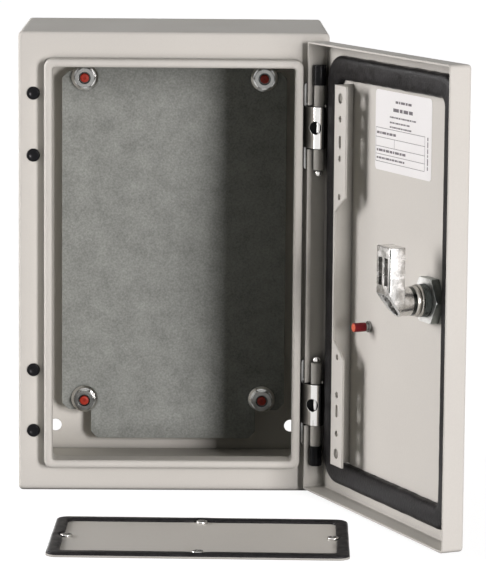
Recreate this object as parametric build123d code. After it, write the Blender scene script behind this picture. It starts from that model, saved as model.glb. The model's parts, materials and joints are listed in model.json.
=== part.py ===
"""Wall-mounting sheet-steel electrical enclosure with its hinged door open and its gland plate off.

Frame: millimetres, +X to the right seen from the front, +Y out of the back towards the wall, +Z up.
The origin is the middle of the four wall-fixing holes on the outside of the back panel.
The door and all it carries are drawn closed, then swung open about the hinge axis.
"""
from build123d import *
import math
import os

# Body: a wrap of folded sheet with a back panel welded in
body_width = 200.0
body_height = 300.0
body_depth = 132.0
body_sheet = 1.2
body_corner_inside_radius = 1.6
front_bend_inside_radius = 0.8

# Sealing lip round the front opening: a hem folded forwards, inwards and back
lip_inset = 17.0
lip_width = 5.0
lip_projection = 11.5
lip_return = 6.0
lip_outer_radius = 5.0
lip_inner_radius = 2.2
lip_edge_radius = 2.0

# Wall-fixing holes in the back panel
wall_hole_radius = 4.2
wall_hole_from_side = 18.5
wall_hole_from_end = 17.5

# Mounting plate on four welded studs
stud_from_plate_side = 15.5
stud_from_plate_end = 27.5
stud_radius = 4.0
stud_collar_radius = 6.5
plate_standoff = 12.8
plate_sheet = 2.0
plate_side_margin = 23.5
plate_end_margin = 11.5
plate_notch = 20.0
plate_top_notch = 23.5
plate_chamfer = 4.5
plate_hole_clearance = 0.4
nut_across_flats = 13.0
nut_height = 7.9
nut_flange_radius = 9.2
nut_flange_height = 1.0
nut_cone_height = 1.6
nut_chamfer = 0.9
thread_clearance = 0.05
stud_cap_radius = 3.1
stud_cap_recess = 3.0
stud_cap_proud = 0.6
stud_cap_edge_radius = 0.8

# Fixing holes in the front flange, plugged on the left and taken by the hinges on the right
fixing_from_lip = 7.3
fixing_hole_radius = 3.25
hinge_from_end = 59.75
hinge_screw_spacing = 40.1
plug_head_radius = 4.25
plug_head_height = 1.4
plug_head_edge_radius = 0.5
plug_shank_clearance = 0.1
plug_barb = 0.4
plug_barb_length = 2.2

# Door: a folded pan
door_side_margin = 2.0
door_top_margin = 4.6
door_bottom_margin = 3.6
door_thickness = 14.5
door_sheet = 1.2
door_corner_inside_radius = 1.4
door_bend_inside_radius = 0.8
door_open_angle = 113.0

# Hinges: a bracket with a barrel on the flange, sleeves on the door's fold and a pin through both
hinge_base_thickness = 1.2
hinge_base_end = 8.0
hinge_base_side = 4.7
hinge_base_lip_clearance = 1.0
hinge_base_corner_radius = 2.0
hinge_swing_clearance = 0.85
hinge_axis_from_rim = 6.6
hinge_block_height = 26.7
hinge_barrel_radius = 5.0
hinge_leaf_past_axis = 1.0
hinge_window_radius = 4.6
hinge_stud_radius = 2.5
hinge_stud_length = 7.0
hinge_nut_across_flats = 8.0
hinge_nut_height = 4.0
hinge_end_clearance = 0.3
hinge_notch_clearance = 0.8
pin_radius = 2.0
pin_clearance = 0.05
pin_ball_overhang = 0.6
pin_ball_clearance = 0.2
sleeve_radius = 3.5
sleeve_flat = 0.1
sleeve_length = 13.7
pin_cap_radius = 4.2
pin_cap_length = 13.0
pin_cap_end_wall = 2.0
pin_cap_edge_radius = 0.8

# Door gasket: a foam bead that faces the lip
gasket_width = 15.6
gasket_lip_clearance = 0.3
gasket_hinge_clearance = 0.4
gasket_outer_radius = 17.0
gasket_inner_radius = 5.0
gasket_crown_radius = 3.5

# Perforated rail welded to the inside of the door
rail_from_fold = 38.4
rail_end_margin = 24.4
rail_height = 13.0
rail_width = 17.0
rail_strip = 2.6
rail_tab_length = 70.0
rail_taper_length = 10.4
rail_sheet = 1.3
rail_bend_radius = 1.0
rail_large_hole_radius = 3.25
rail_large_hole_at = 8.0
rail_small_hole_radius = 1.9
rail_small_holes_at = (21.0, 46.0, 70.3)
rail_slot_at = 35.6
rail_slot_length = 8.1
rail_slot_width = 3.0
rail_row_from_bend = 8.8

# Earth stud on the inside of the door
earth_from_fold = 66.5
earth_below_middle = 29.7
earth_stud_radius = 2.0
earth_stud_length = 9.0
earth_collar_radius = 3.6
earth_collar_height = 1.4
earth_cap_radius = 2.9
earth_cap_length = 8.1
earth_cap_start = 3.3
earth_cap_edge_radius = 0.6

# Quarter-turn lock: housing through the door, nut, seal, spindle and cam
lock_from_free_edge = 43.0
lock_barrel_radius = 10.0
lock_barrel_length = 11.5
lock_neck_radius = 9.1
lock_neck_length = 3.0
lock_hole_clearance = 0.15
lock_bezel_radius = 14.0
lock_bezel_height = 3.5
lock_bezel_chamfer = 1.0
lock_recess_radius = 8.0
lock_recess_depth = 1.5
lock_seal_height = 1.0
lock_seal_radius = 13.0
lock_nut_across_flats = 27.0
lock_nut_height = 5.5
lock_nut_chamfer = 0.7
spindle_radius = 6.0
spindle_clearance = 0.05
spindle_square = 8.0
spindle_square_length = 7.2
spindle_face_depth = 7.0
spindle_key_radius = 2.4
spindle_key_bit_length = 9.0
spindle_key_bit_width = 3.0
spindle_key_height = 6.0
cam_end_clearance = 0.3
cam_hub_radius = 9.1
cam_arm_thickness = 10.1
cam_arm_reach = 34.0
cam_flange_clearance = 0.9
cam_edge_radius = 1.0
cam_knuckle_rise = 5.5
cam_slot_width = 5.0
cam_slot_rib = 2.6
cam_slot_low = 10.5
cam_slot_high = 27.3
cam_slot_depth = 6.0
cam_pocket_width = 7.6
cam_pocket_length = 17.0
cam_pocket_depth = 3.0
cam_screw_radius = 2.0
cam_screw_head_radius = 3.2
cam_screw_head_height = 2.4
cam_screw_seat = 2.2
cam_screw_length = 12.0

# Gland plate, taken off and lying in front of the body
gland_side_margin = 9.0
gland_front_margin = 12.0
gland_rear_margin = 22.0
gland_sheet = 1.2
gland_corner_radius = 7.0
gland_gasket_height = 1.9
gland_gasket_width = 8.0
gland_gasket_crown_radius = 1.2
gland_gasket_inner_radius = 4.0
gland_gasket_notch_radius = 4.5
gland_hole_radius = 2.25
gland_hole_from_edge = 9.5
gland_opening_overlap = 16.0
gland_opening_radius = 6.0
gland_lying_x = 18.0
gland_lying_ahead = 90.5
gland_lying_turn = -2.0

# Places worked out from the sizes above
front_y = -body_depth
floor_z = -body_height / 2
lip_x = body_width / 2 - lip_inset
lip_z = body_height / 2 - lip_inset
fixing_x = lip_x + fixing_from_lip
hinge_z = body_height / 2 - hinge_from_end
wall_hole_spacing_x = body_width - 2 * wall_hole_from_side
wall_hole_spacing_z = body_height - 2 * wall_hole_from_end
plate_width = body_width - 2 * plate_side_margin
plate_height = body_height - 2 * plate_end_margin
stud_spacing_x = plate_width - 2 * stud_from_plate_side
stud_spacing_z = plate_height - 2 * stud_from_plate_end
plate_rear_y = -body_sheet - plate_standoff
plate_front_y = plate_rear_y - plate_sheet
stud_end_y = plate_front_y - nut_height + stud_cap_recess

hinge_axis_from_side = door_sheet + sleeve_radius - sleeve_flat
rim_swing_rise = math.hypot(hinge_axis_from_side, hinge_axis_from_rim) - hinge_axis_from_rim
door_gap = hinge_base_thickness + rim_swing_rise + hinge_swing_clearance
rim_y = front_y - door_gap
door_face_y = rim_y - door_thickness
panel_y = door_face_y + door_sheet
door_right = body_width / 2 - door_side_margin
door_top = body_height / 2 - door_top_margin
door_bottom = -body_height / 2 + door_bottom_margin
door_middle = (door_top + door_bottom) / 2
fold_x = door_right - door_sheet
axis_x = door_right - hinge_axis_from_side
axis_y = rim_y - hinge_axis_from_rim
sleeve_near = hinge_block_height / 2 + hinge_end_clearance
sleeve_far = sleeve_near + sleeve_length

gasket_height = front_y - lip_projection - panel_y - gasket_lip_clearance
gasket_half_x = axis_x - hinge_barrel_radius - gasket_hinge_clearance
gasket_half_z = lip_z - lip_width / 2 + gasket_width / 2
rail_x = fold_x - rail_from_fold
rail_length = door_top - door_bottom - 2 * rail_end_margin
earth_x = fold_x - earth_from_fold
lock_x = -door_right + lock_from_free_edge
lock_neck_y = panel_y + lock_barrel_length + lock_neck_length
cam_near_y = front_y + lip_return + cam_flange_clearance
cam_far_y = cam_near_y + cam_arm_thickness
spindle_face_y = door_face_y + spindle_face_depth
spindle_end_y = lock_neck_y + spindle_square_length
gland_width = body_width - 2 * gland_side_margin
gland_depth = body_depth - gland_front_margin - gland_rear_margin
gland_fitted_y = front_y + gland_front_margin + gland_depth / 2
gland_y = front_y - gland_lying_ahead - gland_depth / 2
gland_top_z = floor_z + gland_sheet


def prism(outline, y_rear, y_front):
    """Extrude an outline drawn in X and Z from y_rear forwards to y_front."""
    plane = Plane(origin=(0, y_rear, 0), x_dir=(1, 0, 0), z_dir=(0, -1, 0))
    return extrude(plane * outline, amount=y_rear - y_front)


def rod(radius, x, z, y_rear, y_front):
    """Round bar along Y."""
    return prism(Pos(x, z) * Circle(radius), y_rear, y_front)


def hexagon(across_flats):
    """Hexagon with flats above and below."""
    return RegularPolygon(across_flats / math.sqrt(3), 6)


def front_edges(part):
    """Edges of the part's foremost flat face."""
    return part.faces().filter_by(Axis.Y).sort_by(Axis.Y)[0].edges()


def rear_edges(part):
    """Edges of the part's rearmost flat face."""
    return part.faces().filter_by(Axis.Y).sort_by(Axis.Y)[-1].edges()


def folded_box(width, height, y_rear, y_front, corner_radius, bend_radius):
    """Box with rounded sides along Y and a rounded edge round its front face."""
    box = prism(RectangleRounded(width, height, corner_radius), y_rear, y_front)
    return fillet(front_edges(box), bend_radius)


def four_corners(spacing_x, spacing_z):
    """Corner points of a rectangular pattern round the origin."""
    return [(sx * spacing_x / 2, sz * spacing_z / 2) for sx in (-1, 1) for sz in (-1, 1)]


def fixing_heights():
    """Heights of the front-flange fixings: one pair at each hinge."""
    return [side * hinge_z + end * hinge_screw_spacing / 2 for side in (-1, 1) for end in (-1, 1)]


def gland_hole_places(centre_x, centre_y):
    """Screw places of the gland plate: the middle of each side."""
    reach_x = gland_width / 2 - gland_hole_from_edge
    reach_y = gland_depth / 2 - gland_hole_from_edge
    steps = [(-reach_x, 0), (reach_x, 0), (0, -reach_y), (0, reach_y)]
    return [(centre_x + dx, centre_y + dy) for dx, dy in steps]


def lip_outline(inset, radius):
    """Outline parallel to the outside of the lip."""
    return RectangleRounded(2 * (lip_x - inset), 2 * (lip_z - inset), radius)


def sealing_lip():
    """Hem of the front flange, a channel that is open to the back."""
    outside = lip_outline(0, lip_outer_radius)
    outside_wall = lip_outline(body_sheet, lip_outer_radius - body_sheet)
    return_wall = lip_outline(lip_width - body_sheet, lip_inner_radius + body_sheet)
    inside = lip_outline(lip_width, lip_inner_radius)
    tip_y = front_y - lip_projection
    end_y = front_y + lip_return
    lip = fillet(front_edges(prism(outside - inside, end_y, tip_y)), lip_edge_radius)
    lip -= prism(outside_wall - return_wall, end_y, tip_y + body_sheet)
    return lip - prism(outside - outside_wall, end_y, front_y + body_sheet)


def body_wrap():
    """Four walls, front flange and sealing lip, with the gland opening in the bottom wall."""
    sheet = body_sheet
    corner = body_corner_inside_radius
    bend = front_bend_inside_radius
    wrap = folded_box(body_width, body_height, 0, front_y, corner + sheet, bend + sheet)
    wrap -= folded_box(body_width - 2 * sheet, body_height - 2 * sheet, 0, front_y + sheet, corner, bend)
    wrap -= prism(lip_outline(0, lip_outer_radius), front_y + 2 * sheet, front_y - sheet)
    wrap += sealing_lip()
    for side in (-1, 1):
        for z in fixing_heights():
            wrap -= rod(fixing_hole_radius, side * fixing_x, z, front_y + sheet, front_y)
    opening_x = gland_width - 2 * gland_opening_overlap
    opening_y = gland_depth - 2 * gland_opening_overlap
    bottom = Pos(0, gland_fitted_y, floor_z)
    wrap -= bottom * extrude(RectangleRounded(opening_x, opening_y, gland_opening_radius), amount=sheet)
    for x, y in gland_hole_places(0, gland_fitted_y):
        wrap -= Pos(x, y, floor_z) * extrude(Circle(gland_hole_radius), amount=sheet)
    return wrap


def back_panel():
    """Flat back, set inside the wrap and flush with its rear edge."""
    width = body_width - 2 * body_sheet
    height = body_height - 2 * body_sheet
    panel = prism(RectangleRounded(width, height, body_corner_inside_radius), 0, -body_sheet)
    for x, z in four_corners(wall_hole_spacing_x, wall_hole_spacing_z):
        panel -= rod(wall_hole_radius, x, z, 0, -body_sheet)
    return panel


def mounting_studs():
    """Collared studs welded to the back panel."""
    studs = []
    for x, z in four_corners(stud_spacing_x, stud_spacing_z):
        collar = rod(stud_collar_radius, x, z, -body_sheet, plate_rear_y)
        studs.append(collar + rod(stud_radius, x, z, plate_rear_y, stud_end_y))
    return studs


def mounting_plate():
    """Flat plate with stepped, chamfered corners."""
    outline = Rectangle(plate_width - 2 * plate_notch, plate_height)
    outline = chamfer(outline.vertices(), plate_chamfer)
    body = Rectangle(plate_width, plate_height - plate_notch - plate_top_notch)
    outline += Pos(0, (plate_notch - plate_top_notch) / 2) * chamfer(body.vertices(), plate_chamfer)
    plate = prism(outline, plate_rear_y, plate_front_y)
    for x, z in four_corners(stud_spacing_x, stud_spacing_z):
        plate -= rod(stud_radius + plate_hole_clearance, x, z, plate_rear_y, plate_front_y)
    return plate


def plate_nuts():
    """Flanged hexagon nuts that hold the plate, with the corners of the hexagon turned off."""
    nuts = []
    end_y = plate_front_y - nut_height
    flange_y = plate_front_y - nut_flange_height
    cone_radius = nut_across_flats / math.sqrt(3)
    cone = Cone(nut_flange_radius, cone_radius, nut_cone_height)
    cone_y = flange_y - nut_cone_height / 2
    for x, z in four_corners(stud_spacing_x, stud_spacing_z):
        blank = chamfer(front_edges(rod(cone_radius, x, z, flange_y, end_y)), nut_chamfer)
        nut = blank & prism(Pos(x, z) * hexagon(nut_across_flats), flange_y, end_y)
        nut += rod(nut_flange_radius, x, z, plate_front_y, flange_y)
        nut += Pos(x, cone_y, z) * Rot(90, 0, 0) * cone
        nuts.append(nut - rod(stud_radius + thread_clearance, x, z, plate_front_y, end_y))
    return nuts


def stud_caps():
    """Caps on the ends of the studs, inside the nuts."""
    caps = []
    end_y = plate_front_y - nut_height - stud_cap_proud
    for x, z in four_corners(stud_spacing_x, stud_spacing_z):
        cap = rod(stud_cap_radius, x, z, stud_end_y, end_y)
        caps.append(fillet(front_edges(cap), stud_cap_edge_radius))
    return caps


def flange_plugs():
    """Snap-in plugs in the spare fixing holes of the left flange."""
    plugs = []
    rear_y = front_y + body_sheet
    for z in fixing_heights():
        plug = rod(plug_head_radius, -fixing_x, z, front_y, front_y - plug_head_height)
        plug = fillet(front_edges(plug), plug_head_edge_radius)
        plug += rod(fixing_hole_radius - plug_shank_clearance, -fixing_x, z, rear_y, front_y)
        barb = rod(fixing_hole_radius + plug_barb, -fixing_x, z, rear_y + plug_barb_length, rear_y)
        plugs.append(plug + chamfer(rear_edges(barb), plug_barb))
    return plugs


def hinge_bracket():
    """Fixed half of a hinge, drawn at mid-height: base, leaf and barrel with a window onto the pin."""
    base_left = lip_x + hinge_base_lip_clearance
    base_right = fixing_x + hinge_base_side
    base_length = hinge_screw_spacing + 2 * hinge_base_end
    base_middle = (base_left + base_right) / 2
    base_outline = RectangleRounded(base_right - base_left, base_length, hinge_base_corner_radius)
    base = prism(Pos(base_middle, 0) * base_outline, front_y, front_y - hinge_base_thickness)
    leaf_left = axis_x - hinge_barrel_radius
    leaf_width = hinge_barrel_radius + hinge_leaf_past_axis
    leaf_depth = front_y - axis_y
    leaf = Pos(leaf_left, axis_y) * Rectangle(leaf_width, leaf_depth, align=Align.MIN)
    profile = leaf + Pos(axis_x, axis_y) * Circle(hinge_barrel_radius)
    bracket = base + extrude(profile, amount=hinge_block_height / 2, both=True)
    bore = Cylinder(pin_radius + pin_clearance, hinge_block_height)
    bracket -= Pos(axis_x, axis_y) * bore
    bracket -= rod(hinge_window_radius, axis_x, 0, axis_y, axis_y - 2 * hinge_barrel_radius)
    for end in (-1, 1):
        z = end * hinge_screw_spacing / 2
        bracket += rod(hinge_stud_radius, fixing_x, z, front_y + hinge_stud_length, front_y)
    return bracket


def hinge_nuts():
    """Nuts behind the front flange that hold the hinge brackets."""
    nuts = []
    near_y = front_y + body_sheet
    far_y = near_y + hinge_nut_height
    for z in fixing_heights():
        nut = prism(Pos(fixing_x, z) * hexagon(hinge_nut_across_flats), far_y, near_y)
        nuts.append(nut - rod(hinge_stud_radius + thread_clearance, fixing_x, z, far_y, near_y))
    return nuts


def fold_side():
    """Space on the door's side of the inner face of its hinge fold."""
    size = 4 * sleeve_far
    return Pos(fold_x, axis_y) * Box(size, size, size, align=(Align.MAX, Align.CENTER, Align.CENTER))


def upright(radius, z_low, z_high):
    """Round bar along the hinge axis."""
    bar = Cylinder(radius, z_high - z_low, align=(Align.CENTER, Align.CENTER, Align.MIN))
    return Pos(axis_x, axis_y, z_low) * bar


def hinge_sleeves():
    """Two sleeves welded to the door's fold, drawn at mid-height."""
    sleeves = []
    for low, high in ((sleeve_near, sleeve_far), (-sleeve_far, -sleeve_near)):
        sleeve = upright(sleeve_radius, low, high) & fold_side()
        sleeves.append(sleeve - upright(pin_radius + pin_clearance, low, high))
    return sleeves


def hinge_pin():
    """Pin with a ball end below, drawn at mid-height."""
    ball_radius = pin_radius + pin_ball_overhang
    ball_rise = math.sqrt(ball_radius**2 - pin_radius**2)
    ball_z = -sleeve_far - pin_ball_clearance - ball_rise
    shaft = upright(pin_radius, ball_z, sleeve_far + pin_cap_length - pin_cap_end_wall)
    return shaft + Pos(axis_x, axis_y, ball_z) * Sphere(ball_radius)


def pin_cap():
    """Cap on the outer end of the pin, seated on the sleeve and the fold, drawn at mid-height."""
    end = sleeve_far + pin_cap_length
    cap = upright(pin_cap_radius, sleeve_far, end) & fold_side()
    cap = fillet(cap.faces().sort_by(Axis.Z)[-1].edges(), pin_cap_edge_radius)
    return cap - upright(pin_radius + pin_clearance, sleeve_far, end - pin_cap_end_wall)


def door_panel():
    """Folded pan with notches for the hinge brackets and a hole for the lock."""
    sheet = door_sheet
    corner = door_corner_inside_radius
    bend = door_bend_inside_radius
    width = 2 * door_right
    height = door_top - door_bottom
    pan = folded_box(width, height, rim_y, door_face_y, corner + sheet, bend + sheet)
    pan -= folded_box(width - 2 * sheet, height - 2 * sheet, rim_y, panel_y, corner, bend)
    pan = Pos(0, 0, door_middle) * pan
    notch_height = hinge_block_height + 2 * hinge_notch_clearance
    notch = Rectangle(2 * (sheet + bend), notch_height)
    for side in (-1, 1):
        pan -= prism(Pos(door_right, side * hinge_z) * notch, rim_y, panel_y)
    return pan - rod(lock_barrel_radius + lock_hole_clearance, lock_x, 0, panel_y, door_face_y)


def door_gasket():
    """Foam bead on the door's inner face, with a rounded crown that faces the lip."""
    outer = RectangleRounded(2 * gasket_half_x, 2 * gasket_half_z, gasket_outer_radius)
    inner_x = gasket_half_x - gasket_width
    inner_z = gasket_half_z - gasket_width
    inner = RectangleRounded(2 * inner_x, 2 * inner_z, gasket_inner_radius)
    bead = prism(outer - inner, panel_y + gasket_height, panel_y)
    return fillet(rear_edges(bead), gasket_crown_radius)


def door_rail():
    """Angle rail with a perforated tab at each end."""
    half = rail_length / 2
    lower = [
        (0, -half),
        (-rail_width, -half),
        (-rail_width, -half + rail_tab_length),
        (-rail_strip, -half + rail_tab_length + rail_taper_length),
    ]
    upper = [(x, -z) for x, z in reversed(lower)]
    face_y = panel_y + rail_height
    rail = prism(make_face(Polyline(*lower, *upper, close=True)), face_y, face_y - rail_sheet)
    web = Pos(-rail_sheet / 2, 0) * Rectangle(rail_sheet, rail_length)
    rail += prism(web, face_y, panel_y)
    bend = rail.edges().filter_by(Axis.Z).group_by(Axis.X)[-1].sort_by(Axis.Y)[-1]
    rail = fillet(bend, rail_bend_radius)
    holes = Sketch()
    for end in (-1, 1):
        for at in rail_small_holes_at:
            holes += Pos(-rail_row_from_bend, end * (half - at)) * Circle(rail_small_hole_radius)
        holes += Pos(-rail_row_from_bend, end * (half - rail_large_hole_at)) * Circle(rail_large_hole_radius)
        slot = SlotOverall(rail_slot_length, rail_slot_width, rotation=90)
        holes += Pos(-rail_row_from_bend, end * (half - rail_slot_at)) * slot
    rail -= prism(holes, face_y, face_y - rail_sheet)
    return Pos(rail_x, 0, door_middle) * rail


def earth_stud():
    """Collared stud welded to the door."""
    collar = rod(earth_collar_radius, earth_x, -earth_below_middle, panel_y + earth_collar_height, panel_y)
    return collar + rod(earth_stud_radius, earth_x, -earth_below_middle, panel_y + earth_stud_length, panel_y)


def earth_stud_cap():
    """Soft cap pushed over the earth stud until the stud's end stops it."""
    near_y = panel_y + earth_cap_start
    cap = rod(earth_cap_radius, earth_x, -earth_below_middle, near_y + earth_cap_length, near_y)
    cap = fillet(rear_edges(cap), earth_cap_edge_radius)
    bore_radius = earth_stud_radius + thread_clearance
    return cap - rod(bore_radius, earth_x, -earth_below_middle, panel_y + earth_stud_length, near_y)


def lock_rod(radius, y_rear, y_front):
    """Round bar along the lock's axis."""
    return rod(radius, lock_x, 0, y_rear, y_front)


def lock_housing():
    """Turned housing with a bezel outside the door, a barrel through it and a neck inside."""
    bezel_rear_y = door_face_y - lock_seal_height
    bezel_y = bezel_rear_y - lock_bezel_height
    bezel = lock_rod(lock_bezel_radius, bezel_rear_y, bezel_y)
    bezel = chamfer(front_edges(bezel), lock_bezel_chamfer)
    housing = bezel + lock_rod(lock_barrel_radius, panel_y + lock_barrel_length, bezel_rear_y)
    housing += lock_rod(lock_neck_radius, lock_neck_y, panel_y + lock_barrel_length)
    housing -= lock_rod(spindle_radius + spindle_clearance, lock_neck_y, bezel_y)
    return housing - lock_rod(lock_recess_radius, bezel_y + lock_recess_depth, bezel_y)


def lock_seal():
    """Flat seal between the bezel and the outside of the door."""
    rear_y = door_face_y
    near_y = door_face_y - lock_seal_height
    bore = lock_rod(lock_barrel_radius + lock_hole_clearance, rear_y, near_y)
    return lock_rod(lock_seal_radius, rear_y, near_y) - bore


def lock_nut():
    """Hexagon nut on the lock's barrel, with its corners turned off."""
    rear_y = panel_y + lock_nut_height
    blank = lock_rod(lock_nut_across_flats / math.sqrt(3), rear_y, panel_y)
    blank = chamfer(rear_edges(blank), lock_nut_chamfer)
    nut = blank & prism(Pos(lock_x, 0) * hexagon(lock_nut_across_flats), rear_y, panel_y)
    return nut - lock_rod(lock_barrel_radius + thread_clearance, rear_y, panel_y)


def lock_spindle():
    """Spindle with a double-bit key post outside and a square for the cam inside."""
    spindle = lock_rod(spindle_radius, lock_neck_y, spindle_face_y)
    square = Pos(lock_x, 0) * Rectangle(spindle_square, spindle_square)
    spindle += prism(square, spindle_end_y, lock_neck_y)
    post = Circle(spindle_key_radius) + Rectangle(spindle_key_bit_length, spindle_key_bit_width)
    spindle += prism(Pos(lock_x, 0) * post, spindle_face_y, spindle_face_y - spindle_key_height)
    seat_y = spindle_end_y + cam_screw_seat
    return spindle - lock_rod(cam_screw_radius + thread_clearance, spindle_end_y, seat_y - cam_screw_length)


def lock_cam():
    """Cast cam: a hub on the spindle's square, a sloping knuckle and an arm that turns behind the lip."""
    hub_y = lock_neck_y + cam_end_clearance
    arm_width = 2 * cam_hub_radius
    outline = Pos(0, cam_arm_reach / 2) * Rectangle(arm_width, cam_arm_reach) + Circle(cam_hub_radius)
    arm = prism(Pos(lock_x, 0) * outline, cam_far_y, cam_near_y)
    arm = fillet(rear_edges(arm), cam_edge_radius)
    arm = fillet(arm.faces().sort_by(Axis.Z)[-1].edges(), cam_edge_radius / 2)
    cam = arm + lock_rod(cam_hub_radius, cam_far_y - cam_edge_radius, hub_y)
    slope = Plane(origin=(lock_x, cam_far_y, cam_knuckle_rise), x_dir=(1, 0, 0), z_dir=(0, 1, -1))
    fall = (cam_knuckle_rise + cam_hub_radius) * math.sqrt(2)
    cam -= slope * Box(2 * arm_width, 4 * fall, fall, align=(Align.CENTER, Align.CENTER, Align.MIN))
    pocket = SlotOverall(cam_pocket_length, cam_pocket_width, rotation=90)
    cam -= extrude(slope * Pos(0, -fall / 2) * pocket, amount=-cam_pocket_depth)
    slot_height = cam_slot_high - cam_slot_low
    slot_middle = (cam_slot_high + cam_slot_low) / 2
    for side in (-1, 1):
        slot_x = lock_x + side * (cam_slot_rib + cam_slot_width) / 2
        slot = Pos(slot_x, slot_middle) * Rectangle(cam_slot_width, slot_height)
        cam -= prism(slot, cam_far_y, cam_far_y - cam_slot_depth)
    socket = spindle_square + 2 * spindle_clearance
    cam -= prism(Pos(lock_x, 0) * Rectangle(socket, socket), spindle_end_y, hub_y)
    seat_y = spindle_end_y + cam_screw_seat
    cam -= lock_rod(cam_screw_radius + plate_hole_clearance, seat_y, spindle_end_y)
    return cam - lock_rod(cam_screw_head_radius + plate_hole_clearance, cam_far_y, seat_y)


def cam_screw():
    """Screw down the middle of the knuckle that holds the cam on the spindle."""
    seat_y = spindle_end_y + cam_screw_seat
    head = lock_rod(cam_screw_head_radius, seat_y + cam_screw_head_height, seat_y)
    return head + lock_rod(cam_screw_radius, seat_y, seat_y - cam_screw_length)


def lying(z):
    """Where the gland plate lies in front of the body, turned a little, at a height."""
    return Pos(gland_lying_x, gland_y, z) * Rot(0, 0, gland_lying_turn)


def gland_plate():
    """Flat cover of the gland opening, lying on its outer face."""
    plate = extrude(RectangleRounded(gland_width, gland_depth, gland_corner_radius), amount=gland_sheet)
    for x, y in gland_hole_places(0, 0):
        plate -= Pos(x, y) * extrude(Circle(gland_hole_radius), amount=gland_sheet)
    return lying(floor_z) * plate


def gland_gasket():
    """Foam ring on the gland plate, cut back round each screw hole."""
    inner_width = gland_width - 2 * gland_gasket_width
    inner_depth = gland_depth - 2 * gland_gasket_width
    ring = RectangleRounded(gland_width, gland_depth, gland_corner_radius)
    ring -= RectangleRounded(inner_width, inner_depth, gland_gasket_inner_radius)
    for x, y in gland_hole_places(0, 0):
        ring -= Pos(x, y) * Circle(gland_gasket_notch_radius)
    bead = extrude(ring, amount=gland_gasket_height)
    return lying(gland_top_z) * fillet(bead.faces().sort_by(Axis.Z)[-1].edges(), gland_gasket_crown_radius)


def at_upper_hinge(solids):
    """Move what was drawn at mid-height to the upper hinge."""
    return [Pos(0, 0, hinge_z) * solid for solid in solids]


def at_lower_hinge(solids):
    """Mirror what was drawn at mid-height and move it to the lower hinge."""
    return [Pos(0, 0, -hinge_z) * mirror(solid, about=Plane.XY) for solid in solids]


def swung_open(solids):
    """Turn the door's pieces about the hinge axis to where the door stands."""
    return [solid.rotate(Axis((axis_x, axis_y, 0), (0, 0, 1)), door_open_angle) for solid in solids]


fixed_pieces = {
    "body_wrap": [body_wrap()],
    "back_panel": [back_panel()],
    "mounting_studs": mounting_studs(),
    "mounting_plate": [mounting_plate()],
    "plate_nuts": plate_nuts(),
    "stud_caps": stud_caps(),
    "flange_plugs": flange_plugs(),
    "upper_hinge_bracket": at_upper_hinge([hinge_bracket()]),
    "lower_hinge_bracket": at_lower_hinge([hinge_bracket()]),
    "hinge_nuts": hinge_nuts(),
    "gland_plate": [gland_plate()],
    "gland_gasket": [gland_gasket()],
}

door_pieces = {
    "door_panel": [door_panel()],
    "door_gasket": [door_gasket()],
    "door_rail": [door_rail()],
    "upper_hinge_sleeves": at_upper_hinge(hinge_sleeves()),
    "lower_hinge_sleeves": at_lower_hinge(hinge_sleeves()),
    "upper_hinge_pin": at_upper_hinge([hinge_pin()]),
    "lower_hinge_pin": at_lower_hinge([hinge_pin()]),
    "upper_pin_cap": at_upper_hinge([pin_cap()]),
    "lower_pin_cap": at_lower_hinge([pin_cap()]),
    "earth_stud": [earth_stud()],
    "earth_stud_cap": [earth_stud_cap()],
    "lock_housing": [lock_housing()],
    "lock_seal": [lock_seal()],
    "lock_nut": [lock_nut()],
    "lock_spindle": [lock_spindle()],
    "lock_cam": [lock_cam()],
    "cam_screw": [cam_screw()],
}

nodes = dict(fixed_pieces)
for name, solids in door_pieces.items():
    nodes[name] = swung_open(solids)

os.makedirs("parts", exist_ok=True)
for name, solids in nodes.items():
    single = [body for solid in solids for body in solid.solids()]
    export_step(single[0] if len(single) == 1 else Compound(children=single), f"parts/{name}.step")
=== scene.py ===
import json
import math

import bmesh
import bpy
from bpy.props import FloatProperty, FloatVectorProperty, PointerProperty
from bpy.types import Operator, Panel, PropertyGroup
from mathutils import Matrix, Vector, noise


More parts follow.
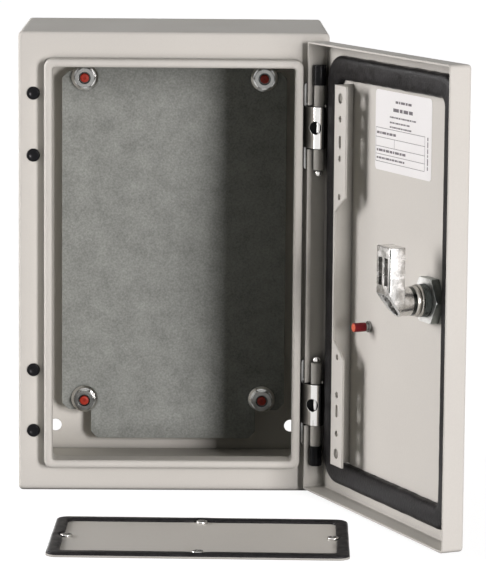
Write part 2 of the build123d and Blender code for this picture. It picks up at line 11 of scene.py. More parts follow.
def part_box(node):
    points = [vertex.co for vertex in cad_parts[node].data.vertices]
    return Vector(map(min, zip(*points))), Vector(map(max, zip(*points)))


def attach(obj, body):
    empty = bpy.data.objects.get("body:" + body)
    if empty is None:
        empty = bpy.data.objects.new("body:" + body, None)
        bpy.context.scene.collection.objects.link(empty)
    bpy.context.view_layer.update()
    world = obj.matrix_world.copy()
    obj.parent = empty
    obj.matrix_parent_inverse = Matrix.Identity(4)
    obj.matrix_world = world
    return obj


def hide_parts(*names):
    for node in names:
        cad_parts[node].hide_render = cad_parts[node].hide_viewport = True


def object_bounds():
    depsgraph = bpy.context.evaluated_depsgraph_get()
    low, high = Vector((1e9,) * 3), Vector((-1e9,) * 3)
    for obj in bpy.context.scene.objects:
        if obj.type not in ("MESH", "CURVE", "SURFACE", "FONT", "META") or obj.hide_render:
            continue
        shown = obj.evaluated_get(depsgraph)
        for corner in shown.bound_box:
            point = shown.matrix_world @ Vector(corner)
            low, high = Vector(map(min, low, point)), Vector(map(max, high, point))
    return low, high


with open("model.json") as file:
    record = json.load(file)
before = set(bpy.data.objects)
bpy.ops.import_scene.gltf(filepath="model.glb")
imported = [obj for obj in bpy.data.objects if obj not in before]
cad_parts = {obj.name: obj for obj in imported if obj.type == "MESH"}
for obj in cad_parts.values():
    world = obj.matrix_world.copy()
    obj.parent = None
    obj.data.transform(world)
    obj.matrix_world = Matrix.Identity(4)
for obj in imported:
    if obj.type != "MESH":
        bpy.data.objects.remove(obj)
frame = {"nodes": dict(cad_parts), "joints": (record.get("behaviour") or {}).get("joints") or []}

bl_info = {
    "name": "Wall Box Finishes",
    "version": (1, 0, 0),
    "blender": (4, 5, 0),
    "location": "3D View > Sidebar > Wall Box",
    "description": "Paint, plating, seals, label and studio for a sheet-steel wall box with an open door",
    "category": "Object",
}

MM = 0.001
CAD_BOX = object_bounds()
JOINTS = {joint["name"]: joint for joint in frame["joints"]}
HINGE_POINT = Vector(JOINTS["door_swing"]["pos_m"])
DOOR_OPEN = math.radians(-JOINTS["door_swing"]["range_deg"][0])
DOOR_SWUNG = (
    Matrix.Translation(HINGE_POINT) @ Matrix.Rotation(DOOR_OPEN, 4, "Z") @ Matrix.Translation(-HINGE_POINT)
)
DOOR_TURN = DOOR_SWUNG.to_3x3()
INWARDS = DOOR_TURN @ Vector((0.0, 1.0, 0.0))

# Most values of a noise texture lie between these.
NOISE_LOW, NOISE_HIGH = 0.3, 0.7
# Places of the colour sockets in a Mix node.
MIX_COLOUR_A, MIX_COLOUR_B, MIX_COLOUR_RESULT = 6, 7, 2
SOCKET_KINDS = {1: "NodeSocketFloat", 3: "NodeSocketVector", 4: "NodeSocketColor"}
# A cutter stands out of what it cuts by this much.
PROUD = 1.0 * MM
# Points closer than this are one.
WELD = 1e-6


def colour_property(name, description, default):
    return FloatVectorProperty(
        name=name, description=description, default=default, subtype="COLOR", size=3, min=0.0, max=1.0
    )


def length_property(name, description, millimetres):
    return FloatProperty(name=name, description=description, default=millimetres * MM, unit="LENGTH", min=0.0)


def share_property(name, description, default):
    return FloatProperty(name=name, description=description, default=default, subtype="FACTOR", min=0.0, max=1.0)


def level_property(name, description, default):
    return FloatProperty(name=name, description=description, default=default, min=0.0)


class SheetPaint(PropertyGroup):
    """Powder coat of the sheet-steel pieces."""

    colour: colour_property("Colour", "Light warm grey of the powder coat", (0.64, 0.625, 0.578))
    roughness: share_property("Roughness", "Middle roughness of the coat", 0.55)
    uneven: share_property("Uneven", "How far the roughness goes to each side of the middle", 0.06)
    peel_size: length_property("Peel Size", "Width of one ripple of the coat's fine peel", 1.1)
    peel_height: length_property("Peel Height", "Depth of the coat's fine peel", 0.05)
    door_edge: length_property("Door Edge", "Radius to which the door's edges look rounded", 1.0)
    body_edge: length_property("Body Edge", "Radius to which the body's folds look rounded", 2.4)


class PlatedMetal(PropertyGroup):
    """Colours of the bare and plated metal pieces."""

    galvanised: colour_property("Galvanised", "Dull grey of the galvanised plate", (0.265, 0.277, 0.258))
    zinc: colour_property("Zinc", "Plate of the studs and small fasteners", (0.56, 0.56, 0.55))
    nuts: colour_property("Nuts", "Zinc on the flanges and flats of the nuts on the plate", (0.78, 0.78, 0.76))
    # Painted shade: the end faces of the nuts on the plate are darker than the rest of the zinc.
    nut_ends: colour_property("Nut Ends", "Turned end faces of the nuts on the plate", (0.3, 0.3, 0.29))
    bright: colour_property("Bright Plate", "Polished plate of the hinges and the cam", (0.76, 0.75, 0.73))
    # Painted reflection: the lock nut's flats are dark and its turned face bright, standing for the dark and bright
    # surroundings they reflect.
    flats: colour_property("Nut Flats", "Dull plate on the flats of the lock's nut", (0.27, 0.29, 0.275))
    faces: colour_property("Nut Face", "Bright turned face of the lock's nut", (0.78, 0.79, 0.77))
    # This dark colour is also painted on the cam as shade.
    thread: colour_property("Thread", "Dark plate of the lock's thread", (0.085, 0.092, 0.085))
    neck: colour_property("Neck", "Pale plate of the lock's neck", (0.5, 0.48, 0.44))
    # Painted shade: the near-black colour of the block inside each hinge bracket stands for the shade there.
    leaf: colour_property("Leaf", "Dark inside of the hinge brackets", (0.02, 0.021, 0.021))


class HingeBracket(PropertyGroup):
    """Curled bracket of a hinge."""

    base: length_property("Base", "Thickness of the base on the flange", 1.2)
    base_width: length_property("Base Width", "Width of the base on the flange", 11.0)
    base_corner: length_property("Base Corner", "Radius of the base's corners", 2.0)
    sheet: length_property("Sheet", "Thickness of the curled sheet", 1.3)
    height: length_property("Height", "Height of the curled sheet", 26.7)
    window_width: length_property("Window Width", "Width of the window onto the pin", 7.4)
    window_height: length_property("Window Height", "Height of the window onto the pin", 8.4)
    window_aside: length_property("Window Aside", "Distance from the pin's axis to the window's middle", 2.5)
    stud: length_property("Stud", "Thickness of the studs behind the base", 5.0)
    stud_length: length_property("Stud Length", "Length of the studs behind the base", 7.0)
    stud_spacing: length_property("Stud Spacing", "Distance between the studs", 40.1)
    stud_inset: length_property("Stud Inset", "Distance from the base's near edge to the studs", 6.3)


class LockCam(PropertyGroup):
    """Cast cam of the lock."""

    arm: length_property("Arm", "Thickness of the arm", 10.1)
    edge: length_property("Edge", "Radius of the arm's far edge", 1.0)
    heel_rise: length_property("Heel Rise", "Height above the axis at which the heel starts", 5.5)
    heel_run: length_property("Heel Run", "Distance along the axis that the heel slopes over", 10.2)
    pocket_width: length_property("Pocket Width", "Width of the pocket in the heel", 8.6)
    pocket_length: length_property("Pocket Length", "Length of the pocket in the heel", 15.6)
    pocket_depth: length_property("Pocket Depth", "Depth of the pocket in the heel", 3.0)
    slot_width: length_property("Slot Width", "Width of each slot in the arm", 5.0)
    slot_rib: length_property("Slot Rib", "Width of the rib between the slots", 2.6)
    slot_low: length_property("Slot Low", "Lower end of the slots above the axis", 10.5)
    slot_high: length_property("Slot High", "Upper end of the slots above the axis", 27.3)
    slot_depth: length_property("Slot Depth", "Depth of the slots", 6.0)
    socket: length_property("Socket", "Width of the square socket for the spindle", 8.1)
    socket_depth: length_property("Socket Depth", "Depth of the square socket", 6.9)


class SealsAndPlastics(PropertyGroup):
    """Colours of the foam and the mouldings."""

    foam: colour_property("Foam", "Black skin of the foamed seals", (0.0095, 0.009, 0.0095))
    black: colour_property("Black", "Black of the plugs and pin caps", (0.007, 0.007, 0.008))
    red: colour_property("Red", "Red of the stud caps", (0.4, 0.032, 0.016))
    # Painted light and shade: the earth stud's cap is dark red on its sides and paler red on its end turned into the
    # box.
    deep_red: colour_property("Deep Red", "Dark red of the earth stud's cap", (0.2, 0.004, 0.011))
    pale_red: colour_property("Pale Red", "Paler end of the earth stud's cap", (0.62, 0.12, 0.06))


class FoamSeals(PropertyGroup):
    """Sizes of the foamed beads."""

    door_width: length_property("Door Width", "Width of the door's bead", 15.6)
    door_outer: length_property("Door Outer", "Outer corner radius of the door's bead", 17.0)
    door_inner: length_property("Door Inner", "Inner corner radius of the door's bead", 5.0)
    gland_long: length_property("Gland Long", "Length of the gland plate", 182.0)
    gland_short: length_property("Gland Short", "Depth of the gland plate", 98.0)
    gland_width: length_property("Gland Width", "Width of the gland plate's bead", 8.0)
    gland_outer: length_property("Gland Outer", "Outer corner radius of the gland plate's bead", 7.0)
    gland_inner: length_property("Gland Inner", "Inner corner radius of the gland plate's bead", 4.0)
    gland_hole: length_property("Gland Hole", "Distance from the gland plate's edge to its holes", 9.5)
    gland_turn: FloatProperty(
        name="Gland Turn", description="Turn of the gland plate on the floor", default=math.radians(-2.0),
        subtype="ANGLE",
    )


class DataLabel(PropertyGroup):
    """Label on the inside of the door."""

    width: length_property("Width", "Width of the label", 75.9)
    height: length_property("Height", "Height of the label", 50.0)
    corner: length_property("Corner", "Radius of the label's corners", 3.0)
    from_fold: length_property("From Fold", "Distance from the door's hinge fold to the label", 71.2)
    above_middle: length_property("Above Middle", "Height of the label's middle above the door's middle", 96.5)
    thickness: length_property("Thickness", "Thickness of the label", 0.12)
    rule: length_property("Rule", "Thickness of the table's lines", 0.32)
    film: colour_property("Film", "White film of the label", (0.88, 0.88, 0.87))
    ink: colour_property("Ink", "Dark ink of the table and bars", (0.16, 0.15, 0.16))


class StudioStage(PropertyGroup):
    """Floor, lamps and camera."""

    floor: colour_property("Floor", "Pale floor", (0.3, 0.3, 0.3))
    floor_glow: level_property("Floor Glow", "Paleness of the floor near the box", 0.9)
    tint: colour_property("Lamp Tint", "Slightly warm light of the front lamps", (1.0, 0.957, 0.965))
    key: level_property("Key", "Level of the lamp at the front right", 1.03)
    side: level_property("Side", "Level of the lamp at the left", 1.4)
    rear: level_property("Rear", "Level of each lamp behind", 0.3)
    ambient: level_property("Ambient", "Level of the light from all round", 0.06)
    focal: FloatProperty(name="Focal Length", description="Focal length of the lens", default=194.1, unit="CAMERA")


def new_group(name, inputs, outputs):
    """Shader node group with the named sockets, of the kind that their values show, and its end nodes."""
    group = bpy.data.node_groups.new(name, "ShaderNodeTree")
    for way, sockets in (("INPUT", inputs), ("OUTPUT", outputs)):
        for label, value in sockets.items():
            size = len(value) if isinstance(value, tuple) else 1
            socket = group.interface.new_socket(label, in_out=way, socket_type=SOCKET_KINDS[size])
            socket.default_value = value
    return group, group.nodes.new("NodeGroupInput"), group.nodes.new("NodeGroupOutput")


def built_once(build):
    """Node group named like its function, which builds it when it is first asked for."""

    def group():
        return bpy.data.node_groups.get(build.__name__) or build(build.__name__)

    return group


def add(tree, kind, inputs=None, **settings):
    """New node with its settings, and its inputs given values or linked sockets."""
    made = tree.nodes.new(kind)
    for key, value in settings.items():
        setattr(made, key, value)
    for key, value in (inputs or {}).items():
        if isinstance(value, bpy.types.NodeSocket):
            tree.links.new(value, made.inputs[key])
        else:
            made.inputs[key].default_value = value
    return made


def span(tree, value, start=0.0, end=1.0, low=0.0, high=1.0):
    """Value carried from the range of start to end over to that of low to high."""
    inputs = {"Value": value, "From Min": start, "From Max": end, "To Min": low, "To Max": high}
    return add(tree, "ShaderNodeMapRange", inputs).outputs["Result"]


@built_once
def surface_grain(name):
    """Fine and broad mottling over a surface, in the object's own coordinates."""
    group, given, out = new_group(name, {"Fine Scale": 900.0, "Broad Scale": 20.0}, {"Fine": 0.0, "Broad": 0.0})
    place = add(group, "ShaderNodeTexCoord").outputs["Object"]
    for label, detail in (("Fine", 2.0), ("Broad", 3.0)):
        inputs = {"Vector": place, "Scale": given.outputs[f"{label} Scale"], "Detail": detail}
        group.links.new(add(group, "ShaderNodeTexNoise", inputs).outputs["Fac"], out.inputs[label])
    return group


@built_once
def drawn_lines(name):
    """Fine lines drawn out along one direction of a metal surface."""
    group, given, out = new_group(name, {"Along": (60.0, 60.0, 2500.0), "Sharpness": 3.0}, {"Lines": 0.0})
    place = add(group, "ShaderNodeTexCoord").outputs["Object"]
    stretched = add(group, "ShaderNodeVectorMath", {0: place, 1: given.outputs["Along"]}, operation="MULTIPLY")
    inputs = {"Vector": stretched.outputs["Vector"], "Scale": 1.0, "Detail": given.outputs["Sharpness"]}
    group.links.new(add(group, "ShaderNodeTexNoise", inputs).outputs["Fac"], out.inputs["Lines"])
    return group


@built_once
def tone_shift(name):
    """Colour that goes darker and lighter with a mask, and darker with painted shade where the surface is closed in."""
    inputs = {"Colour": (0.5, 0.5, 0.5, 1.0), "Mask": 0.5, "Low": 0.9, "High": 1.1, "Open": 1.0, "Corner Shade": 1.0}
    group, given, out = new_group(name, inputs, {"Colour": (0.0, 0.0, 0.0, 1.0)})
    tone = span(group, given.outputs["Mask"], NOISE_LOW, NOISE_HIGH, given.outputs["Low"], given.outputs["High"])
    # Painted shade: the colour darkens where ambient occlusion finds the surface closed in.
    closed = span(group, given.outputs["Open"], low=given.outputs["Corner Shade"])
    both = add(group, "ShaderNodeMath", {0: tone, 1: closed}, operation="MULTIPLY").outputs[0]
    shaded = add(group, "ShaderNodeVectorMath", {0: given.outputs["Colour"], "Scale": both}, operation="SCALE")
    group.links.new(shaded.outputs["Vector"], out.inputs["Colour"])
    return group


def axis_mask(name, coordinate, start, end):
    """Node group whose mask rises where a coordinate of the piece, taken along an axis, goes from start to end."""
    group, given, out = new_group(name, {"Axis": (0.0, 0.0, 1.0), "Start": start, "End": end}, {"Mask": 0.0})
    place = add(group, "ShaderNodeTexCoord").outputs[coordinate]
    along = add(group, "ShaderNodeVectorMath", {0: place, 1: given.outputs["Axis"]}, operation="DOT_PRODUCT")
    mask = span(group, along.outputs["Value"], given.outputs["Start"], given.outputs["End"])
    group.links.new(mask, out.inputs["Mask"])
    return group


@built_once
def turned_faces(name):
    """Mask of the faces that look along an axis of the piece."""
    return axis_mask(name, "Normal", 0.8, 0.95)


@built_once
def beyond_plane(name):
    """Mask of what lies beyond a plane across an axis of the piece."""
    return axis_mask(name, "Object", 0.0, 1.0 * MM)


@built_once
def rough_span(name):
    """Roughness that runs between two values with a mask."""
    group, given, out = new_group(name, {"Mask": 0.5, "Smooth": 0.3, "Rough": 0.5}, {"Roughness": 0.0})
    ends = (given.outputs["Smooth"], given.outputs["Rough"])
    group.links.new(span(group, given.outputs["Mask"], NOISE_LOW, NOISE_HIGH, *ends), out.inputs["Roughness"])
    return group


def finish_material(
    name, colour, tones, roughness, grain, bump, broad=0.5, lines=None, corner_shade=None, patches=(), edge=0.0, **sockets
):
    """Material of mottled colour, uneven roughness and a fine bump, with its lengths in millimetres.

    tones and roughness are (low, high), grain is (fine size, broad size) and bump is (share, height).
    broad is the broad mottling's share of the colour's change.
    lines is the stretch of drawn lines, which then take the place of the fine mottling.
    The darkening in corners is painted shade from ambient occlusion, given as (reach, share of the colour left in a
    tight corner, openness from which all of it shows).
    patches are (colour, group, axis, start, end): another colour where the group's mask is, in metres.
    edge is the radius to which sharp edges look rounded.
    """
    material = bpy.data.materials.new(name)
    material.use_nodes = True
    tree = material.node_tree
    shader = tree.nodes["Principled BSDF"]
    for key, value in sockets.items():
        shader.inputs[key.replace("_", " ").title().replace("Ior", "IOR")].default_value = value
    scales = {"Fine Scale": 1.0 / (grain[0] * MM), "Broad Scale": 1.0 / (grain[1] * MM)}
    mottle = add(tree, "ShaderNodeGroup", scales, node_tree=surface_grain())
    fine = mottle.outputs["Fine"]
    if lines:
        fine = add(tree, "ShaderNodeGroup", {"Along": lines}, node_tree=drawn_lines()).outputs["Lines"]
    mixed = add(tree, "ShaderNodeMix", {"Factor": broad, "A": fine, "B": mottle.outputs["Broad"]}, data_type="FLOAT")
    base = (*colour, 1.0)
    for second, mask, axis, start, end in patches:
        where = add(tree, "ShaderNodeGroup", {"Axis": axis, "Start": start, "End": end}, node_tree=mask)
        ends = {"Factor": where.outputs["Mask"], MIX_COLOUR_A: base, MIX_COLOUR_B: (*second, 1.0)}
        base = add(tree, "ShaderNodeMix", ends, data_type="RGBA").outputs[MIX_COLOUR_RESULT]
    tone = {"Colour": base, "Mask": mixed.outputs["Result"], "Low": tones[0], "High": tones[1]}
    if corner_shade:
        reach, left, full = corner_shade
        # Painted shade in closed-in corners, from ambient occlusion.
        corners = add(tree, "ShaderNodeAmbientOcclusion", {"Distance": reach * MM}, samples=6)
        tone |= {"Open": span(tree, corners.outputs["AO"], end=full), "Corner Shade": left}
    toned = add(tree, "ShaderNodeGroup", tone, node_tree=tone_shift())
    tree.links.new(toned.outputs["Colour"], shader.inputs["Base Color"])
    ends = {"Mask": mottle.outputs["Broad"], "Smooth": roughness[0], "Rough": roughness[1]}
    spread = add(tree, "ShaderNodeGroup", ends, node_tree=rough_span())
    tree.links.new(spread.outputs["Roughness"], shader.inputs["Roughness"])
    relief = add(tree, "ShaderNodeBump", {"Strength": bump[0], "Distance": bump[1] * MM, "Height": fine})
    if edge:
        rounded = add(tree, "ShaderNodeBevel", {"Radius": edge * MM}, samples=4)
        tree.links.new(rounded.outputs["Normal"], relief.inputs["Normal"])
    tree.links.new(relief.outputs["Normal"], shader.inputs["Normal"])
    return material


def dress(material, *nodes):
    """Give CAD nodes a material in place of what they came with."""
    for name in nodes:
        mesh = frame["nodes"][name].data
        mesh.materials.clear()
        mesh.materials.append(material)


def mesh_piece(name, bm, body, material, replaced=(), smooth_angle=35.0):
    """Object from a bmesh that rides on a body and may stand for CAD nodes."""
    bmesh.ops.recalc_face_normals(bm, faces=bm.faces)
    limit = math.radians(smooth_angle)
    for face in bm.faces:
        face.smooth = True
    for edge in bm.edges:
        edge.smooth = len(edge.link_faces) == 2 and edge.calc_face_angle(0.0) < limit
    mesh = bpy.data.meshes.new(name)
    bm.to_mesh(mesh)
    bm.free()
    mesh.materials.append(material)
    piece = bpy.data.objects.new(name, mesh)
    bpy.context.scene.collection.objects.link(piece)
    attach(piece, body)
    if replaced:
        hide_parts(*replaced)


def heading(degrees):
    """Unit vector at an angle from the X axis."""
    angle = math.radians(degrees)
    return Vector((math.cos(angle), math.sin(angle)))


def corners_of(points):
    """Lowest and highest corner of some points."""
    return [Vector(pick(point[axis] for point in points) for axis in range(3)) for pick in (min, max)]


def turned(bm, rows, place, segments, thread=None):
    """Closed body of revolution from (radius, height) rows about the local Z axis of place.

    thread is (low, high, pitch, depth): between those heights a helix is cut into the outside.
    """
    low, high, pitch, depth = thread or (0.0, 0.0, 1.0, 0.0)
    rings = []
    for radius, height in rows:
        if radius == 0:
            rings.append([bm.verts.new(place @ Vector((0, 0, height)))] * segments)
            continue
        ring = []
        for step in range(segments):
            cut = 0.0
            if low < height < high:
                phase = (height / pitch - step / segments) % 1.0
                fade = min(1.0, (height - low) / pitch, (high - height) / pitch)
                cut = depth * fade * abs(2.0 * phase - 1.0)
            spot = (radius - cut) * heading(360 * step / segments)
            ring.append(bm.verts.new(place @ Vector((spot.x, spot.y, height))))
        rings.append(ring)
    for lower, upper in zip(rings, rings[1:]):
        for step in range(segments):
            after = (step + 1) % segments
            corners = list(dict.fromkeys([lower[step], lower[after], upper[after], upper[step]]))
            if len(corners) > 2:
                bm.faces.new(corners)


def arc(centre_radius, centre_height, radius, start, stop, steps):
    """Rows along an arc of a turned profile, angles in degrees."""
    rows = []
    for step in range(steps + 1):
        way = heading(start + (stop - start) * step / steps)
        rows.append((max(0.0, centre_radius + radius * way.x), centre_height + radius * way.y))
    return rows


def forwards(x, y, z):
    """Placement whose local Z points out of the front of the box."""
    return Matrix.Translation((x, y, z)) @ Matrix.Rotation(math.radians(90), 4, "X")


def backwards(x, y, z):
    """Placement whose local Z points out of the back of the box."""
    return Matrix.Translation((x, y, z)) @ Matrix.Rotation(math.radians(-90), 4, "X")


def inwards_on_door(x, y, z):
    """Placement on the closed door whose local Z points into the box, carried to the open door."""
    return DOOR_SWUNG @ backwards(x, y, z)


def rounded_frame(half_x, half_y, corner, turn=6, straight=1):
    """Points round a rectangle with round corners: turn steps to a corner and straight steps to a side."""
    corners = []
    for quarter, (sx, sy) in enumerate(((1, 1), (-1, 1), (-1, -1), (1, -1))):
        middle = Vector((sx * (half_x - corner), sy * (half_y - corner)))
        corners.append([middle + corner * heading(90 * (quarter + step / turn)) for step in range(turn + 1)])
    points = []
    for here, after in zip(corners, corners[1:] + corners[:1]):
        points += here
        points += [here[-1].lerp(after[0], step / straight) for step in range(1, straight)]
    return points


def foam_bead(bm, place, outer, inner, height, waver):
    """Ring of foam with a full, round top between two frames of points, whose edges waver a little."""
    rows, fullness, waves_per_metre = 20, 0.6, 60.0
    other_edge = Vector((0.0, 0.0, 7.0))
    rings = []
    for far, near in zip(outer, inner):
        spot = (far + near).to_3d() * waves_per_metre
        begin = waver * (0.5 + 0.5 * noise.noise(spot))
        end = 1.0 - waver * (0.5 + 0.5 * noise.noise(spot + other_edge))
        ring = []
        for row in range(rows + 1):
            way = heading(180 * row / rows)
            across = 1.0 - math.copysign(abs(way.x) ** fullness, way.x)
            flat = far.lerp(near, begin + (end - begin) * across / 2)
            ring.append(bm.verts.new(place @ Vector((flat.x, flat.y, height * abs(way.y) ** fullness))))
        rings.append(ring)
    for here, after in zip(rings, rings[1:] + rings[:1]):
        for row in range(rows):
            bm.faces.new([here[row], after[row], after[row + 1], here[row + 1]])
        bm.faces.new([here[0], here[rows], after[rows], after[0]])


def loft(bm, rings):
    """Closed body through rings of as many points each."""
    rings = [[bm.verts.new(point) for point in ring] for ring in rings]
    count = len(rings[0])
    for here, after in zip(rings, rings[1:]):
        for step in range(count):
            ahead = (step + 1) % count
            bm.faces.new([here[step], here[ahead], after[ahead], after[step]])
    bm.faces.new(rings[0])
    bm.faces.new(rings[-1])


def prism(bm, outline, direction):
    """Closed prism from an outline of points along a direction."""
    loft(bm, [outline, [Vector(point) + Vector(direction) for point in outline]])


def cut_away(bm, cutter):
    """What is left of a closed mesh after another one is taken out of it."""
    pieces = []
    for part in (bm, cutter):
        bmesh.ops.recalc_face_normals(part, faces=part.faces)
        mesh = bpy.data.meshes.new("cut")
        part.to_mesh(mesh)
        part.free()
        piece = bpy.data.objects.new("cut", mesh)
        bpy.context.scene.collection.objects.link(piece)
        pieces.append(piece)
    cut = pieces[0].modifiers.new("cut", "BOOLEAN")
    cut.operation = "DIFFERENCE"
    cut.solver = "EXACT"
    cut.object = pieces[1]
    left = bmesh.new()
    left.from_object(pieces[0], bpy.context.evaluated_depsgraph_get())
    for piece in pieces:
        mesh = piece.data
        bpy.data.objects.remove(piece)
        bpy.data.meshes.remove(mesh)
    return left


def islands(node):
    """Boxes of the separate solids of a CAD node, as (low, high) corners."""
    bm = bmesh.new()
    bm.from_mesh(frame["nodes"][node].data)
    bmesh.ops.remove_doubles(bm, verts=bm.verts, dist=WELD)
    left = set(bm.verts)
    boxes = []
    while left:
        stack = [left.pop()]
        group = []
        while stack:
            vert = stack.pop()
            group.append(vert.co.copy())
            for edge in vert.link_edges:
                other = edge.other_vert(vert)
                if other in left:
                    left.remove(other)
                    stack.append(other)
        boxes.append(corners_of(group))
    bm.free()
    return boxes


def closed_box(node):
    """Corners of a node of the door as it stands when the door is closed."""
    back = DOOR_SWUNG.inverted()
    return corners_of([back @ vert.co for vert in frame["nodes"][node].data.vertices])


class WALLBOX_OT_sheet_paint(Operator):
    """Powder-coat the body, the door, its rail and sleeves, and the gland plate"""

    bl_idname = "wall_box.sheet_paint"
    bl_label = "Paint Sheet Steel"

    def execute(self, context):
        paint = context.scene.wall_box_paint
        flat = ("back_panel", "door_panel", "door_rail", "gland_plate", "upper_hinge_sleeves", "lower_hinge_sleeves")
        for name, edge, nodes in (
            ("warm_grey_powder_coat", paint.door_edge, flat),
            ("warm_grey_coat_on_folds", paint.body_edge, ("body_wrap",)),
        ):
            material = finish_material(
                name, paint.colour, tones=(0.97, 1.02),
                roughness=(paint.roughness - paint.uneven, paint.roughness + paint.uneven),
                grain=(paint.peel_size / MM, 50.0), bump=(0.25, paint.peel_height / MM),
                # Painted shade: darker colour in closed-in corners.
                corner_shade=(8.0, 0.1, 0.75), edge=edge / MM, specular_ior_level=0.06,
            )
            dress(material, *nodes)
        return {"FINISHED"}


class WALLBOX_OT_mounting_plate(Operator):
    """Give the mounting plate its mottled galvanised face"""

    bl_idname = "wall_box.mounting_plate"
    bl_label = "Galvanise Mounting Plate"

    def execute(self, context):
        material = finish_material(
            "galvanised_sheet", context.scene.wall_box_metal.galvanised, tones=(0.7, 1.3), roughness=(0.45, 0.6),
            # Painted shade: darker colour in closed-in corners.
            grain=(1.2, 14.0), bump=(0.3, 0.05), broad=0.4, corner_shade=(5.0, 0.3, 1.0), edge=0.4,
            specular_ior_level=0.12,
        )
        dress(material, "mounting_plate")
        return {"FINISHED"}


class WALLBOX_OT_fasteners(Operator):
    """Plate the nuts, studs and screws with zinc"""

    bl_idname = "wall_box.fasteners"
    bl_label = "Plate Fasteners"

    def execute(self, context):
        metal = context.scene.wall_box_metal
        zinc = finish_material(
            "bright_zinc", metal.zinc, tones=(0.85, 1.1), roughness=(0.16, 0.28), grain=(0.8, 6.0), bump=(0.15, 0.03),
            # Painted shade: darker colour in closed-in corners.
            corner_shade=(6.0, 0.02, 1.0), edge=0.4, metallic=1.0,
        )
        dress(zinc, "mounting_studs", "hinge_nuts", "earth_stud", "cam_screw")
        front = -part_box("plate_nuts")[0].y
        # Painted shade: a darker colour on the frontmost part of the nuts, their end faces.
        ends = (metal.nut_ends, beyond_plane(), (0.0, -1.0, 0.0), front - 0.7 * MM, front - 0.4 * MM)
        nuts = finish_material(
            "dull_zinc_nuts", metal.nuts, tones=(0.8, 1.15), roughness=(0.16, 0.28), grain=(0.8, 6.0),
            # Painted shade: darker colour in closed-in corners.
            bump=(0.15, 0.03), corner_shade=(1.8, 0.06, 1.0), patches=[ends], edge=0.4, metallic=1.0,
        )
        dress(nuts, "plate_nuts")
        return {"FINISHED"}


def curled_sheet(start, axis, radius, thickness):
    """Outline of a sheet that rises from start and curls round an axis, seen along the axis.

    The outer side comes first, then the inner side back to the start.
    """
    curl_start, curl_turn, bend_steps, curl_steps = 145, 235, 24, 48
    rise, run = 6.0 * MM, 4.5 * MM

    def on_curl(degrees):
        way = heading(degrees)
        return axis + radius * Vector((way.x, -way.y))

    touch = on_curl(curl_start)
    way = heading(curl_start)
    slope = Vector((way.y, way.x))
    handles = (start, start + Vector((0.0, -rise)), touch - run * slope, touch)
    outer = []
    for step in range(bend_steps):
        t = step / bend_steps
        shares = ((1 - t) ** 3, 3 * t * (1 - t) ** 2, 3 * t**2 * (1 - t), t**3)
        outer.append(sum((share * handle for share, handle in zip(shares, handles)), Vector((0.0, 0.0))))
    outer += [on_curl(curl_start - curl_turn * step / curl_steps) for step in range(curl_steps + 1)]
    inner = []
    for step, point in enumerate(outer):
        ahead = outer[min(step + 1, len(outer) - 1)] - outer[max(step - 1, 0)]
        inner.append(point + thickness * Vector((-ahead.y, ahead.x)).normalized())
    return outer + inner[::-1]


